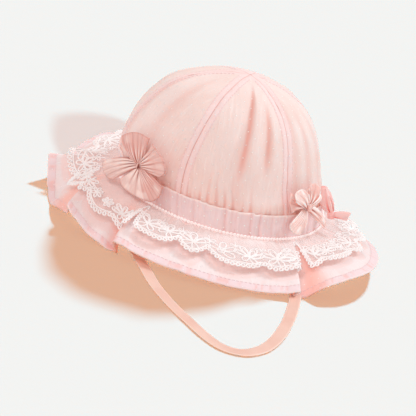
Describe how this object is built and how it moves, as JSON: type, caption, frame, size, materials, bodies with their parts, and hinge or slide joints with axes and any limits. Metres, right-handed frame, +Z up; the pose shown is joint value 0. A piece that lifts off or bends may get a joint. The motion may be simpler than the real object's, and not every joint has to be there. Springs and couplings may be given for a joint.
{
  "type": "baby bucket hat",
  "caption": "Baby's bucket hat of pink voile with a panelled crown, a fluted brim under a lace flounce, side bows and a ribbon chin strap.",
  "frame": {"origin": "centre of the box around the hat without its chin strap, on the surface that the brim rests on", "axes": "+Z up off the surface, towards the crown; -Y towards the front of the hat, where the chin strap lies; +X towards the wearer's left, the side with the satin bow"},
  "size_m": [0.2594, 0.3472, 0.1183],
  "materials": {
    "crown_voile": "sheer dotted cotton voile, matt, lined",
    "band_voile": "gathered cotton voile, matt",
    "brim_voile": "cotton voile, matt, stitched hem",
    "lace": "embroidered net lace, matt",
    "rose_voile": "pleated voile, soft sheen",
    "blush_voile": "pleated voile, soft sheen",
    "coral_satin": "satin, soft gloss",
    "strap_satin": "satin ribbon, soft gloss"
  },
  "bodies": {
    "root": {"crown_panel_1": "crown_voile", "crown_panel_2": "crown_voile", "crown_panel_3": "crown_voile", "crown_panel_4": "crown_voile", "crown_panel_5": "crown_voile", "crown_panel_6": "crown_voile", "hat_band": "band_voile", "brim": "brim_voile", "lace_flounce": "lace", "left_bow_top": "rose_voile", "left_bow_left": "rose_voile", "left_bow_right": "rose_voile", "left_bow_lower_left": "rose_voile", "left_bow_lower_right": "rose_voile", "left_bow_knot": "rose_voile", "right_bow_upper_left": "blush_voile", "right_bow_upper_right": "blush_voile", "right_bow_lower_left": "blush_voile", "right_bow_tail": "blush_voile", "right_bow_knot": "blush_voile", "satin_bow_loop": "coral_satin", "satin_bow_tail": "coral_satin", "satin_bow_knot": "coral_satin", "chin_strap": "strap_satin"}
  },
  "joints": []
}
